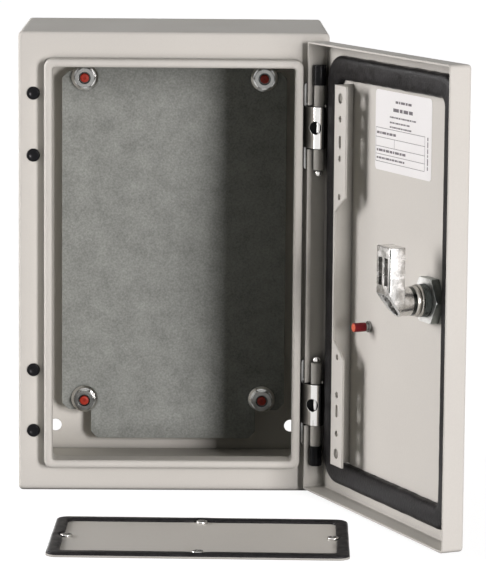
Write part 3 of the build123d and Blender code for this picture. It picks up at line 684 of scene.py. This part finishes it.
class WALLBOX_OT_hinges(Operator):
    """Curled hinge brackets with a window onto the pin, and the pins"""

    bl_idname = "wall_box.hinges"
    bl_label = "Make Hinges"

    def execute(self, context):
        metal = context.scene.wall_box_metal
        sizes = context.scene.wall_box_hinge
        plate = finish_material(
            "polished_hinge_plate", metal.bright, tones=(0.9, 1.05), roughness=(0.07, 0.15), grain=(1.2, 8.0),
            # Painted shade: darker colour in closed-in corners.
            bump=(0.1, 0.02), lines=(400.0, 400.0, 25.0), corner_shade=(9.0, 0.02, 1.0), edge=0.3, metallic=1.0,
        )
        pin = finish_material(
            "pin_steel", metal.bright, tones=(0.85, 1.05), roughness=(0.12, 0.2), grain=(0.8, 6.0), bump=(0.1, 0.02),
            # Painted shade: darker colour in closed-in corners.
            corner_shade=(3.0, 0.1, 1.0), metallic=1.0,
        )
        # Painted shade for the block inside the bracket.
        inside = finish_material(
            "leaf_painted_shade", metal.leaf, tones=(0.7, 1.3), roughness=(0.4, 0.55), grain=(1.0, 5.0), bump=(0.2, 0.05),
            specular_ior_level=0.1,
        )
        for end in ("upper", "lower"):
            dress(pin, f"{end}_hinge_pin")
            low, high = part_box(f"{end}_hinge_pin")
            axis = (low + high) / 2
            low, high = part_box(f"{end}_hinge_bracket")
            self.bracket(sizes, end, axis, low, high, plate)
            self.leaf(sizes, end, axis, low, high, inside)
        return {"FINISHED"}

    def bracket(self, sizes, end, axis, low, high, material):
        """Base with studs and a sheet curled round the pin, in place of the plain bracket."""
        flange = high.y - sizes.stud_length
        centre = (low.z + high.z) / 2
        bottom = centre - sizes.height / 2
        # The sheet starts inside the base, so that the two look like one form.
        start = Vector((low.x, flange - 0.6 * sizes.base))
        curl = curled_sheet(start, axis.xy, high.x - axis.x, sizes.sheet)
        sheet = bmesh.new()
        prism(sheet, [(point.x, point.y, bottom) for point in curl], (0.0, 0.0, sizes.height))
        behind, through, window_steps = 2.0 * MM, 12.0 * MM, 48
        outline = []
        for step in range(window_steps):
            way = heading(360 * step / window_steps)
            across = axis.x - sizes.window_aside + sizes.window_width / 2 * way.x
            outline.append((across, axis.y + behind, centre + sizes.window_height / 2 * way.y))
        opening = bmesh.new()
        prism(opening, outline, (0.0, -through, 0.0))
        bm = cut_away(sheet, opening)
        half = sizes.base_width / 2
        corners = rounded_frame(half, (high.z - low.z) / 2, sizes.base_corner)
        prism(bm, [(low.x + half + p.x, flange, centre + p.y) for p in corners], (0.0, -sizes.base, 0.0))
        radius, length = sizes.stud / 2, sizes.stud_length
        sunk, chamfer, row_count, last_row = 0.4 * MM, 0.5 * MM, 56, 52
        thread = (0.3 * MM, length - 0.6 * MM, 0.8 * MM, 0.4 * MM)
        rows = [(0, -sunk), (radius, -sunk), (radius, 0.0)]
        rows += [(radius, length * step / row_count) for step in range(1, last_row + 1)]
        rows += [(radius - chamfer, length), (0, length)]
        for side in (-1, 1):
            place = backwards(low.x + sizes.stud_inset, flange, centre + side * sizes.stud_spacing / 2)
            turned(bm, rows, place, 32, thread)
        name = f"{end}_hinge_bracket_curled"
        mesh_piece(name, bm, "enclosure", material, [f"{end}_hinge_bracket"], 40.0)

    def leaf(self, sizes, end, axis, low, high, material):
        """Block inside the curled sheet, behind the pin, coloured near-black as painted shade."""
        inset, past, behind, clear = 1.9 * MM, 1.0 * MM, 3.0 * MM, 0.2 * MM
        slant_x, slant_y = 1.6 * MM, 2.0 * MM
        left, right = low.x + inset, axis.x + past
        near, far = high.y - sizes.stud_length - sizes.base, axis.y + behind
        outline = [(left, near), (right, near), (right, far), (left + slant_x, far), (left, near - slant_y)]
        height = sizes.height - 2 * clear
        bottom = (low.z + high.z - height) / 2
        bm = bmesh.new()
        prism(bm, [(x, y, bottom) for x, y in outline], (0.0, 0.0, height))
        mesh_piece(f"{end}_hinge_leaf_in_painted_shade", bm, "enclosure", material)


def cam_outline(half, top, corner):
    """Arm with a round foot about the lock's axis, as wide as twice the half, in steps of 5 and 10 degrees."""
    points = [half * heading(180 + 5 * step) for step in range(37)]
    for side, start in ((1, 0), (-1, 90)):
        middle = Vector((side * (half - corner), top - corner))
        points += [middle + corner * heading(start + 10 * step) for step in range(10)]
    return points


class WALLBOX_OT_lock(Operator):
    """Cast cam, plated nut and a housing with its thread"""

    bl_idname = "wall_box.lock"
    bl_label = "Finish Lock"

    def execute(self, context):
        metal = context.scene.wall_box_metal
        cam = context.scene.wall_box_cam
        low, high = closed_box("lock_cam")
        cast = self.casting(metal, cam, low, high)
        dress(cast, "lock_spindle")
        self.cam(cam, low, high, cast)
        plated = finish_material(
            # Painted reflection: dark flats, with the bright face colour on faces turned into the box.
            "plated_nut", metal.flats, tones=(0.8, 1.15), roughness=(0.3, 0.42), grain=(0.8, 6.0), bump=(0.2, 0.04),
            # Painted shade: darker colour in closed-in corners.
            corner_shade=(2.0, 0.1, 1.0), patches=[(metal.faces, turned_faces(), INWARDS, 0.6, 0.9)], edge=0.3,
            metallic=1.0,
        )
        dress(plated, "lock_nut")
        self.housing(metal)
        return {"FINISHED"}

    def casting(self, metal, sizes, low, high):
        """Bright plate of the casting, with painted shade on its near edge, in the pocket of its heel and at the end of
        its hub.
        """
        slope = DOOR_TURN @ Vector((0.0, sizes.heel_rise - low.z, -sizes.heel_run)).normalized()
        heel = (DOOR_SWUNG @ Vector((0.0, high.y, sizes.heel_rise))).dot(slope)
        hub = -(DOOR_SWUNG @ low).dot(INWARDS)
        near_edge = DOOR_TURN @ Vector((-1.0, 1.0, 0.0)).normalized()
        return finish_material(
            "plated_casting", metal.bright, tones=(0.66, 1.2), roughness=(0.14, 0.34), grain=(1.4, 6.0),
            # Painted shade: darker colour in closed-in corners.
            bump=(0.4, 0.12), corner_shade=(4.0, 0.04, 1.0), edge=0.25, metallic=1.0,
            # Painted shade: a dark line on the arm's near edge, a dark pocket floor in the heel and a dark band at the
            # end of the hub.
            patches=[
                (metal.thread, turned_faces(), near_edge, 0.82, 0.92),
                (metal.thread, turned_faces(), slope, 0.9, 0.98),
                (metal.bright, beyond_plane(), slope, heel - 1.4 * MM, heel - 1.0 * MM),
                (metal.thread, beyond_plane(), -INWARDS, hub - 2.4 * MM, hub - 1.9 * MM),
            ],
        )

    def cam(self, sizes, low, high, material):
        """Arm and hub in one casting with two slots, a sloping heel and its pocket, in place of the plain cam."""
        middle, half = (low.x + high.x) / 2, (high.x - low.x) / 2
        top_corner, hub_step = 0.6 * MM, 0.3 * MM
        near, hub = high.y - sizes.arm, half - hub_step
        stations = [(low.y, hub, hub, hub), (near, hub, hub, hub), (near, half, high.z, top_corner)]
        edge_steps = 6
        for step in range(edge_steps + 1):
            way = heading(90 * step / edge_steps)
            inset = sizes.edge * (1 - way.x)
            y = high.y - sizes.edge * (1 - way.y)
            stations.append((y, half - inset, high.z - inset, top_corner))
        bm = bmesh.new()
        loft(bm, [[(middle + p.x, y, p.y) for p in cam_outline(*outline)] for y, *outline in stations])

        top = Vector((middle, high.y, sizes.heel_rise))
        down = Vector((0.0, -sizes.heel_run, low.z - sizes.heel_rise))
        out = Vector((0.0, -down.z, down.y)).normalized()
        side, depth = Vector((20.0 * MM, 0.0, 0.0)), 30.0 * MM
        above, below = top - down, top + 2 * down
        cutter = bmesh.new()
        prism(cutter, [above - side, above + side, below + side, below - side], depth * out)
        bm = cut_away(bm, cutter)

        cutter = bmesh.new()
        width, length = sizes.pocket_width / 2, sizes.pocket_length / 2
        centre, along = top + down / 2 + PROUD * out, down.normalized()
        outline = [centre + Vector((p.x, 0.0, 0.0)) + p.y * along for p in rounded_frame(width, length, width, 12)]
        prism(cutter, outline, -(sizes.pocket_depth + PROUD) * out)
        for way in (-1, 1):
            inner, outer = way * sizes.slot_rib / 2, way * (sizes.slot_rib / 2 + sizes.slot_width)
            foot, tip = sizes.slot_low, sizes.slot_high
            corners = [(inner, foot), (outer, foot), (outer, tip), (inner, tip)]
            outline = [(middle + x, high.y + PROUD, z) for x, z in corners]
            prism(cutter, outline, (0.0, -sizes.slot_depth - PROUD, 0.0))
        square = sizes.socket / 2
        corners = [(-square, -square), (square, -square), (square, square), (-square, square)]
        outline = [(middle + x, low.y - PROUD, z) for x, z in corners]
        prism(cutter, outline, (0.0, sizes.socket_depth + PROUD, 0.0))
        bm = cut_away(bm, cutter)

        screw, sink, head_depth, overlap = 2.4 * MM, 3.6 * MM, 2.4 * MM, 0.5 * MM
        head = closed_box("cam_screw")[1].y - head_depth
        floor, past = low.y + sizes.socket_depth - overlap, high.y + 5.0 * MM
        rows = [(0, floor), (screw, floor), (screw, head), (sink, head), (sink, past), (0, past)]
        cutter = bmesh.new()
        turned(cutter, rows, backwards(middle, 0.0, 0.0), 40)
        bm = cut_away(bm, cutter)
        bmesh.ops.transform(bm, matrix=DOOR_SWUNG, verts=bm.verts)
        mesh_piece("lock_cam_cast", bm, "lock_cam", material, ["lock_cam"], 40.0)

    def housing(self, metal):
        """Housing with a grooved neck, a thread and a bezel, in place of the plain one."""
        low, high = closed_box("lock_housing")
        middle = (low + high) / 2
        panel = closed_box("lock_nut")[0].y
        place = inwards_on_door(middle.x, panel, middle.z)
        front, tip = low.y - panel, high.y - panel
        neck, threaded, bore, recess = 9.1 * MM, 10.0 * MM, 6.05 * MM, 8.0 * MM
        bezel, bevel = (high.x - low.x) / 2, 1.0 * MM
        base, sunk, shoulder = front + 3.5 * MM, front + 1.5 * MM, tip - 3.0 * MM
        chamfer, groove, pitch, thread_depth = 0.3 * MM, 0.5 * MM, 1.0 * MM, 0.5 * MM
        thread_top, steps = shoulder - 0.6 * MM, 140
        rows = [(bore, tip), (neck - chamfer, tip), (neck, tip - chamfer), (neck, shoulder + groove)]
        rows += [(neck - groove, shoulder + 0.3 * MM), (neck - groove, shoulder - 0.1 * MM)]
        rows += [(threaded - 0.2 * MM, shoulder - 0.3 * MM), (threaded, thread_top)]
        rows += [(threaded, thread_top + (base - thread_top) * step / steps) for step in range(1, steps)]
        rows += [(threaded, base), (bezel, base), (bezel, front + bevel), (bezel - bevel, front)]
        rows += [(recess, front), (recess, sunk), (bore, sunk), (bore, tip)]
        bm = bmesh.new()
        turned(bm, rows, place, 72, (base, thread_top - pitch, pitch, thread_depth))
        bmesh.ops.remove_doubles(bm, verts=bm.verts, dist=WELD)
        neck_start = (place @ Vector((0.0, 0.0, shoulder - 1.3 * MM))).dot(INWARDS)
        pale = (metal.neck, beyond_plane(), INWARDS, neck_start - 0.1 * MM, neck_start + 0.1 * MM)
        material = finish_material(
            "lock_housing_plate", metal.thread, tones=(0.8, 1.2), roughness=(0.25, 0.35), grain=(0.8, 6.0),
            # Painted shade: darker colour in closed-in corners.
            bump=(0.2, 0.04), corner_shade=(2.0, 0.1, 1.0), patches=[pale], metallic=1.0,
        )
        mesh_piece("lock_housing_turned", bm, "door", material, ["lock_housing"], 50.0)


class WALLBOX_OT_seals(Operator):
    """Black foam seals of the door, the gland plate and the lock"""

    bl_idname = "wall_box.seals"
    bl_label = "Finish Seals"

    def execute(self, context):
        sizes = context.scene.wall_box_seals
        foam = finish_material(
            "black_foam_skin", context.scene.wall_box_plastics.foam, tones=(0.35, 2.2), roughness=(0.3, 0.5),
            # Painted shade: darker colour in closed-in corners.
            grain=(1.5, 7.0), bump=(0.6, 0.3), corner_shade=(3.0, 0.4, 1.0), specular_ior_level=0.14,
        )
        dress(foam, "lock_seal")
        low, high = closed_box("door_gasket")
        half = ((high.x - low.x) / 2, (high.z - low.z) / 2)
        outer, inner = self.frames(half, sizes.door_width, sizes.door_outer, sizes.door_inner, 14)
        place = inwards_on_door((low.x + high.x) / 2, low.y, (low.z + high.z) / 2)
        bm = bmesh.new()
        foam_bead(bm, place, outer, inner, high.y - low.y, waver=0.04)
        mesh_piece("door_gasket_bead", bm, "door", foam, ["door_gasket"], 60.0)

        low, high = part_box("gland_gasket")
        half = (sizes.gland_long / 2, sizes.gland_short / 2)
        outer, inner = self.frames(half, sizes.gland_width, sizes.gland_outer, sizes.gland_inner, 10)
        reach_x, reach_y = (side - sizes.gland_hole for side in half)
        holes = (Vector((reach_x, 0)), Vector((-reach_x, 0)), Vector((0, reach_y)), Vector((0, -reach_y)))
        notch_reach, notch_share = 4.5 * MM, 0.42
        for hole in holes:
            for step, (far, near) in enumerate(zip(outer, inner)):
                away = (near - hole).length / notch_reach
                inner[step] = near.lerp(far, notch_share * math.exp(-away**2))
        middle = (low + high) / 2
        place = Matrix.Translation((middle.x, middle.y, low.z)) @ Matrix.Rotation(sizes.gland_turn, 4, "Z")
        bm = bmesh.new()
        foam_bead(bm, place, outer, inner, high.z - low.z, waver=0.06)
        mesh_piece("gland_gasket_bead", bm, "enclosure", foam, ["gland_gasket"], 60.0)
        self.collars(context, [place @ Matrix.Translation(hole.to_3d()) for hole in holes])
        return {"FINISHED"}

    def frames(self, half, width, outer_corner, inner_corner, turn):
        """Points along the outer and the inner edge of a bead."""
        straight = 60
        outer = rounded_frame(*half, outer_corner, turn, straight)
        return outer, rounded_frame(half[0] - width, half[1] - width, inner_corner, turn, straight)

    def collars(self, context, places):
        """Bright collars in the gland plate's holes."""
        material = finish_material(
            "bright_collar", context.scene.wall_box_metal.bright, tones=(0.9, 1.05), roughness=(0.15, 0.25),
            grain=(0.8, 6.0), bump=(0.1, 0.02), metallic=1.0,
        )
        bore, rim, height, edge = 2.3 * MM, 3.6 * MM, 1.6 * MM, 0.5 * MM
        rows = [(bore, 0.0), (rim, 0.0), (rim, height - edge)]
        rows += arc(rim - edge, height - edge, edge, 0, 90, 6)
        rows += [(bore, height), (bore, 0.0)]
        bm = bmesh.new()
        for place in places:
            turned(bm, rows, place, 40)
        bmesh.ops.remove_doubles(bm, verts=bm.verts, dist=WELD)
        mesh_piece("gland_hole_collars", bm, "enclosure", material)


class WALLBOX_OT_plugs_and_caps(Operator):
    """Moulded plugs, pin caps and stud caps"""

    bl_idname = "wall_box.plugs_and_caps"
    bl_label = "Mould Plugs and Caps"

    def execute(self, context):
        plastics = context.scene.wall_box_plastics
        black = finish_material(
            "black_moulding", plastics.black, tones=(0.9, 1.2), roughness=(0.2, 0.3), grain=(0.9, 5.0),
            bump=(0.1, 0.03), specular_ior_level=0.1,
        )
        red = finish_material(
            "red_moulding", plastics.red, tones=(0.8, 1.15), roughness=(0.32, 0.45), grain=(0.9, 4.0),
            # Painted shade: darker colour in closed-in corners.
            bump=(0.15, 0.04), corner_shade=(2.0, 0.3, 1.0), specular_ior_level=0.3,
        )
        # Painted light and shade: dark red sides and a paler end on the earth stud's cap.
        deep_red = finish_material(
            "earth_cap_painted_light_and_shade", plastics.deep_red, tones=(0.7, 1.25), roughness=(0.3, 0.45), grain=(0.9, 4.0),
            # Painted shade: darker colour in closed-in corners.
            bump=(0.15, 0.04), corner_shade=(2.0, 0.3, 1.0), specular_ior_level=0.2,
            patches=[(plastics.pale_red, turned_faces(), INWARDS, 0.5, 0.9)],
        )
        dress(black, "upper_pin_cap", "lower_pin_cap")
        dress(deep_red, "earth_stud_cap")
        self.mould("flange_plug_mouldings", "flange_plugs", black, "black_plastic", self.plug_rows)
        self.mould("stud_cap_mouldings", "stud_caps", red, "red_plastic", self.cap_rows)
        return {"FINISHED"}

    def mould(self, name, node, material, slot, rows):
        """Turned mouldings that face the front, in place of a node's solids."""
        bm = bmesh.new()
        for low, high in islands(node):
            middle = (low + high) / 2
            place = forwards(middle.x, high.y, middle.z)
            turned(bm, rows((high.x - low.x) / 2, high.y - low.y), place, 40)
        mesh_piece(name, bm, "enclosure", material, [node], 40.0)

    def plug_rows(self, head, length):
        """Profile of a plug: barbed stem, neck, and a domed head with a shallow dish."""
        tip, barb, neck, taper, grip = 2.4 * MM, 3.65 * MM, 3.15 * MM, 1.0 * MM, 1.2 * MM
        rim, dome, flange = 0.3 * MM, 0.9 * MM, length - 1.4 * MM
        rows = [(0, 0), (tip, 0), (barb, taper), (barb, flange - grip), (neck, flange - grip), (neck, flange)]
        rows += [(head, flange), (head, flange + rim)]
        rows += arc(head - dome, flange + rim, dome, 15, 80, 6)
        return rows + [(2.6 * MM, length - 0.1 * MM), (2.1 * MM, length - 0.35 * MM), (0, length - 0.4 * MM)]

    def cap_rows(self, head, length):
        """Profile of a stud cap: a sleeve with a round front edge and a dimple in its end."""
        edge = 0.8 * MM
        rows = [(0, 0), (head, 0), (head, length - edge)]
        rows += arc(head - edge, length - edge, edge, 15, 90, 5)
        return rows + [(1.0 * MM, length), (0.7 * MM, length - 0.4 * MM), (0, length - 0.45 * MM)]


# The label's table and lines of bars, as shares of its width and height from its upper left corner.
TABLE_LEFT, TABLE_RIGHT, TABLE_DIVIDER = 0.012, 0.884, 0.347
TABLE_LEVELS = (0.474, 0.591, 0.705, 0.802, 0.894)
# (left, right, level, height of the bars in millimetres)
WORD_LINES = (
    (0.36, 0.66, 0.125, 1.5), (0.32, 0.68, 0.225, 2.1), (0.26, 0.74, 0.318, 1.0), (0.26, 0.64, 0.385, 1.0),
    (0.26, 0.66, 0.442, 1.0), (0.03, 0.4, 0.535, 1.5), (0.03, 0.6, 0.752, 1.5), (0.03, 0.56, 0.848, 1.2),
)
# The upright line of bars beside the table: (across, top, bottom, width of the bars in millimetres)
UPRIGHT_LINE = (0.935, 0.475, 0.95, 1.2)
# Lengths of the bars and the gap between them, as multiples of their height.
WORD_LENGTHS = (2.4, 1.2, 3.6, 1.8, 2.9)
WORD_GAP = 0.6
INK_THICKNESS = 0.02 * MM
# Thickness of the sheet of the door's fold.
FOLD_SHEET = 1.2 * MM


def words(start, stop, height):
    """Plain bars of word-like lengths along a line of a label, as (middle, length), in metres."""
    bars = []
    first = round(stop / MM)
    while True:
        length = height * WORD_LENGTHS[(first + len(bars)) % len(WORD_LENGTHS)]
        if start + length > stop:
            return bars
        bars.append((start + length / 2, length))
        start += length + WORD_GAP * height


class WALLBOX_OT_data_label(Operator):
    """White label with a ruled table and plain bars on the inside of the door"""

    bl_idname = "wall_box.data_label"
    bl_label = "Stick Label"

    def execute(self, context):
        label = context.scene.wall_box_label
        film = finish_material(
            "label_film", label.film, tones=(0.985, 1.01), roughness=(0.3, 0.4), grain=(1.0, 20.0), bump=(0.05, 0.02),
            specular_ior_level=0.3,
        )
        ink = finish_material(
            "label_ink", label.ink, tones=(0.85, 1.15), roughness=(0.4, 0.5), grain=(0.6, 6.0), bump=(0.05, 0.02),
            specular_ior_level=0.2,
        )
        low, high = closed_box("door_panel")
        half_x, half_y = label.width / 2, label.height / 2
        centre_x = high.x - FOLD_SHEET - label.from_fold - half_x
        centre_z = (low.z + high.z) / 2 + label.above_middle
        place = inwards_on_door(centre_x, closed_box("lock_nut")[0].y, centre_z)
        outwards = place.to_3x3() @ Vector((0, 0, 1))
        bm = bmesh.new()
        outline = [place @ point.to_3d() for point in rounded_frame(half_x, half_y, label.corner)]
        prism(bm, outline, label.thickness * outwards)
        mesh_piece("data_label", bm, "door", film)

        bm = bmesh.new()
        for across, down, length, thick in self.bars(label):
            x, y = half_x - across, down - half_y
            corners = [(x + sx * length / 2, y + sy * thick / 2) for sx, sy in ((-1, -1), (1, -1), (1, 1), (-1, 1))]
            prism(bm, [place @ Vector((a, b, label.thickness)) for a, b in corners], INK_THICKNESS * outwards)
        mesh_piece("data_label_rules", bm, "door", ink)
        return {"FINISHED"}

    def bars(self, label):
        """Lines of the table and bars in place of words, as (across, down, length, thickness) in metres."""
        width, height = label.width, label.height
        bars = []
        for level in TABLE_LEVELS:
            middle, length = (TABLE_LEFT + TABLE_RIGHT) / 2 * width, (TABLE_RIGHT - TABLE_LEFT) * width
            bars.append((middle, level * height, length, label.rule))
        outer, row = (TABLE_LEVELS[0], TABLE_LEVELS[-1]), TABLE_LEVELS[1:3]
        for across, (top, bottom) in ((TABLE_LEFT, outer), (TABLE_RIGHT, outer), (TABLE_DIVIDER, row)):
            bars.append((across * width, (top + bottom) / 2 * height, label.rule, (bottom - top) * height))
        for left, right, level, thick in WORD_LINES:
            for middle, length in words(left * width, right * width, thick * MM):
                bars.append((middle, level * height, length, thick * MM))
        across, top, bottom, thick = UPRIGHT_LINE
        for middle, length in words(top * height, bottom * height, thick * MM):
            bars.append((across * width, middle, thick * MM, length))
        return bars


# Half the floor's width, and the distances between which its glow rises, in metres.
FLOOR_REACH = 15.0
GLOW_NEAR, GLOW_FAR = 0.6, 2.5
# Place of the camera in metres, its turns in radians, and its sensor in millimetres.
CAMERA_PLACE = Vector((0.009857, -2.13797, 0.292308))
CAMERA_YAW, CAMERA_PITCH, CAMERA_ROLL = 0.01784, 0.13811, 0.00845
CAMERA_SHIFT = -0.08
SENSOR_WIDTH = 36.0


def pale_where_seen(tree):
    """Factor that is 1 for what the camera, reflections and clear pieces see."""
    path = add(tree, "ShaderNodeLightPath").outputs
    seen = add(tree, "ShaderNodeMath", {0: path["Is Camera Ray"], 1: path["Is Glossy Ray"]}, operation="ADD")
    inputs = {0: seen.outputs[0], 1: path["Is Transmission Ray"]}
    return add(tree, "ShaderNodeMath", inputs, operation="ADD", use_clamp=True).outputs[0]


def lamp(name, azimuth, elevation, distance, width, height, level, tint=(1.0, 1.0, 1.0)):
    """Upright soft lamp that gives the level to a face turned straight towards it."""
    data = bpy.data.lights.new(name, "AREA")
    data.shape = "RECTANGLE"
    data.color = tint
    data.size = width
    data.size_y = height
    data.energy = level * math.pi**2 * distance**2
    target = (CAD_BOX[0] + CAD_BOX[1]) / 2
    turn, rise = math.radians(azimuth), math.radians(elevation)
    away = Vector((math.sin(turn) * math.cos(rise), -math.cos(turn) * math.cos(rise), math.sin(rise)))
    made = bpy.data.objects.new(name, data)
    made.location = target + away * distance
    made.rotation_euler = away.to_track_quat("Z", "Y").to_euler()
    bpy.context.scene.collection.objects.link(made)


class WALLBOX_OT_stage(Operator):
    """Pale floor, soft lamps, surroundings and camera"""

    bl_idname = "wall_box.stage"
    bl_label = "Set Stage"

    def execute(self, context):
        scene = context.scene
        stage = scene.wall_box_stage
        scene.view_settings.view_transform = "Standard"
        self.floor(scene, stage)
        self.surroundings(scene, stage)
        lamp("key_lamp", 24.0, 6.0, 3.0, 0.5, 1.1, stage.key, stage.tint)
        lamp("side_lamp", -94.0, 9.0, 2.5, 1.15, 1.7, stage.side, stage.tint)
        lamp("rear_right_lamp", 140.0, 5.0, 3.0, 1.5, 1.5, stage.rear)
        lamp("rear_left_lamp", -150.0, 5.0, 3.0, 1.5, 1.5, stage.rear)
        self.camera(scene, stage)
        return {"FINISHED"}

    def floor(self, scene, stage):
        """Floor that is pale to the camera and keeps the box's shadow."""
        mesh = bpy.data.meshes.new("studio_floor")
        corners = ((-1, -1), (1, -1), (1, 1), (-1, 1))
        points = [(x * FLOOR_REACH, y * FLOOR_REACH, CAD_BOX[0].z) for x, y in corners]
        mesh.from_pydata(points, [], [(0, 1, 2, 3)])
        floor = bpy.data.objects.new("studio_floor", mesh)
        scene.collection.objects.link(floor)
        material = bpy.data.materials.new("studio_floor")
        material.use_nodes = True
        tree = material.node_tree
        tree.nodes.remove(tree.nodes["Principled BSDF"])
        matte = add(tree, "ShaderNodeBsdfDiffuse", {"Color": (*stage.floor, 1.0)})
        place = add(tree, "ShaderNodeTexCoord").outputs["Object"]
        away = add(tree, "ShaderNodeVectorMath", {0: place}, operation="LENGTH").outputs["Value"]
        paleness = span(tree, away, GLOW_NEAR, GLOW_FAR, stage.floor_glow, 1.0)
        strength = add(tree, "ShaderNodeMath", {0: pale_where_seen(tree), 1: paleness}, operation="MULTIPLY")
        glow = add(tree, "ShaderNodeEmission", {"Color": (1.0, 1.0, 1.0, 1.0), "Strength": strength.outputs[0]})
        both = add(tree, "ShaderNodeAddShader", {0: matte.outputs[0], 1: glow.outputs[0]})
        tree.links.new(both.outputs[0], tree.nodes["Material Output"].inputs["Surface"])
        mesh.materials.append(material)

    def surroundings(self, scene, stage):
        """Faint light from all round that looks white to the camera."""
        scene.world = bpy.data.worlds.new("studio_surroundings")
        scene.world.use_nodes = True
        tree = scene.world.node_tree
        background = tree.nodes["Background"]
        background.inputs["Color"].default_value = (1.0, 1.0, 1.0, 1.0)
        level = span(tree, pale_where_seen(tree), low=stage.ambient)
        tree.links.new(level, background.inputs["Strength"])

    def camera(self, scene, stage):
        """Camera where the photograph was taken from."""
        data = bpy.data.cameras.new("photo_camera")
        data.lens = stage.focal
        data.sensor_width = SENSOR_WIDTH
        data.shift_y = CAMERA_SHIFT
        data.clip_end = 100.0
        camera = bpy.data.objects.new("photo_camera", data)
        level = math.cos(CAMERA_PITCH)
        ahead = Vector((math.sin(CAMERA_YAW) * level, math.cos(CAMERA_YAW) * level, -math.sin(CAMERA_PITCH)))
        level_right = Vector((math.cos(CAMERA_YAW), -math.sin(CAMERA_YAW), 0.0))
        upright = level_right.cross(ahead)
        right = math.cos(CAMERA_ROLL) * level_right + math.sin(CAMERA_ROLL) * upright
        up = math.cos(CAMERA_ROLL) * upright - math.sin(CAMERA_ROLL) * level_right
        turn = Matrix((right, up, -ahead)).transposed().to_4x4()
        camera.matrix_world = Matrix.Translation(CAMERA_PLACE) @ turn
        scene.collection.objects.link(camera)
        scene.camera = camera


class WALLBOX_PT_finishes(Panel):
    """Finishes of the wall box"""

    bl_label = "Wall Box"
    bl_idname = "WALLBOX_PT_finishes"
    bl_space_type = "VIEW_3D"
    bl_region_type = "UI"
    bl_category = "Wall Box"

    def draw(self, context):
        for operator in OPERATORS:
            self.layout.operator(operator.bl_idname)
        for name in SETTINGS:
            settings = getattr(context.scene, name)
            box = self.layout.box()
            for key in settings.__annotations__:
                box.prop(settings, key)


OPERATORS = (
    WALLBOX_OT_sheet_paint,
    WALLBOX_OT_mounting_plate,
    WALLBOX_OT_fasteners,
    WALLBOX_OT_hinges,
    WALLBOX_OT_lock,
    WALLBOX_OT_seals,
    WALLBOX_OT_plugs_and_caps,
    WALLBOX_OT_data_label,
    WALLBOX_OT_stage,
)
SETTINGS = {
    "wall_box_paint": SheetPaint,
    "wall_box_metal": PlatedMetal,
    "wall_box_hinge": HingeBracket,
    "wall_box_cam": LockCam,
    "wall_box_plastics": SealsAndPlastics,
    "wall_box_seals": FoamSeals,
    "wall_box_label": DataLabel,
    "wall_box_stage": StudioStage,
}


def register():
    for name, settings in SETTINGS.items():
        bpy.utils.register_class(settings)
        setattr(bpy.types.Scene, name, PointerProperty(type=settings))
    for operator in OPERATORS:
        bpy.utils.register_class(operator)
    bpy.utils.register_class(WALLBOX_PT_finishes)


def unregister():
    bpy.utils.unregister_class(WALLBOX_PT_finishes)
    for operator in reversed(OPERATORS):
        bpy.utils.unregister_class(operator)
    for name, settings in SETTINGS.items():
        delattr(bpy.types.Scene, name)
        bpy.utils.unregister_class(settings)


def main():
    register()
    for operator in OPERATORS:
        section, name = operator.bl_idname.split(".")
        getattr(getattr(bpy.ops, section), name)()


if __name__ == "__main__":
    main()
